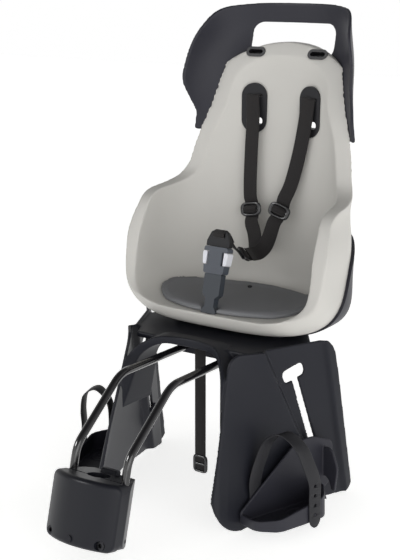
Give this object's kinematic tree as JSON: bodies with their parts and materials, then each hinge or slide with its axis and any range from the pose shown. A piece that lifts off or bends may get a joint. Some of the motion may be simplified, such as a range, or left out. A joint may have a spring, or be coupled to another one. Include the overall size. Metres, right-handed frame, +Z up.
{
  "type": "child bike seat",
  "caption": "Rear child bike seat: moulded bucket with head guard, harness, leg guards and sliding footrests, carried on bent rods from a seat-tube block.",
  "frame": {"origin": "on the axis of the bike's seat tube, halfway up the mounting block", "axes": "+Z up, -Y towards the front, so the rider faces -Y and +X is the rider's left"},
  "size_m": [0.454, 0.6024, 0.7568],
  "materials": {
    "shell_plastic": "satin moulded polypropylene",
    "dark_plastic": "fine moulded grain",
    "block_plastic": "fine moulded grain",
    "buckle_plastic": "polished mould",
    "button_plastic": "polished mould",
    "webbing": "woven polyester webbing",
    "pad_foam": "closed-cell foam skin",
    "rod_steel": "gloss black powder coat",
    "strap_rubber": "moulded elastomer",
    "fastener_steel": "zinc plated"
  },
  "bodies": {
    "block": {"block_cover": "block_plastic", "block_clamp": "block_plastic", "block_bolts": "fastener_steel"},
    "release": {"release_button": "block_plastic"},
    "seat": {"seat_shell": "shell_plastic", "cradle": "dark_plastic", "head_guard": "dark_plastic", "guard_screws": "fastener_steel", "shell_screws": "fastener_steel", "leg_guard": "dark_plastic", "carrier_rod": "rod_steel", "rod_saddle": "dark_plastic", "rod_clamp_plate": "dark_plastic", "clamp_bolts": "fastener_steel", "seat_pad": "pad_foam", "crotch_sleeve": "buckle_plastic", "buckle_body": "buckle_plastic", "tongue_strap": "webbing", "tongue_slide": "dark_plastic", "safety_strap": "webbing", "safety_buckle": "dark_plastic", "strap_guide_left": "dark_plastic", "rim_grommet_left": "dark_plastic", "shoulder_strap_left": "webbing", "strap_adjuster_left": "dark_plastic", "strap_guide_right": "dark_plastic", "rim_grommet_right": "dark_plastic", "shoulder_strap_right": "webbing", "strap_adjuster_right": "dark_plastic"},
    "tongue": {"buckle_tongue": "buckle_plastic"},
    "foot_left": {"footrest_left": "dark_plastic", "footrest_slider_left": "dark_plastic", "foot_strap_left": "strap_rubber"},
    "press_left": {"buckle_button_left": "button_plastic"},
    "foot_right": {"footrest_right": "dark_plastic", "footrest_slider_right": "dark_plastic", "foot_strap_right": "strap_rubber"},
    "press_right": {"buckle_button_right": "button_plastic"}
  },
  "joints": [
    {"name": "seat_lift_off", "type": "slide", "parent": "block", "child": "seat", "axis": [0, 0.2588, 0.9659], "range_m": [0, 0.06]},
    {"name": "release_press", "type": "slide", "parent": "block", "child": "release", "axis": [0, -0.2588, -0.9659], "range_m": [0, 0.004], "stiffness_N_per_m": 800, "springref_m": -0.001},
    {"name": "footrest_left_slide", "type": "slide", "parent": "seat", "child": "foot_left", "axis": [-0.1335, -0.2804, 0.9506], "range_m": [0, 0.11]},
    {"name": "footrest_right_slide", "type": "slide", "parent": "seat", "child": "foot_right", "axis": [0.1335, -0.2804, 0.9506], "range_m": [0, 0.11]},
    {"name": "buckle_press_left", "type": "slide", "parent": "seat", "child": "press_left", "axis": [-1, 0, 0], "range_m": [0, 0.003], "stiffness_N_per_m": 600, "springref_m": -0.0005},
    {"name": "buckle_press_right", "type": "slide", "parent": "seat", "child": "press_right", "axis": [1, 0, 0], "range_m": [0, 0.003], "stiffness_N_per_m": 600, "springref_m": -0.0005},
    {"name": "buckle_tongue_pull", "type": "slide", "parent": "seat", "child": "tongue", "axis": [0, 0.2419, 0.9703], "range_m": [0, 0.024], "deforming": ["tongue_strap"]}
  ]
}
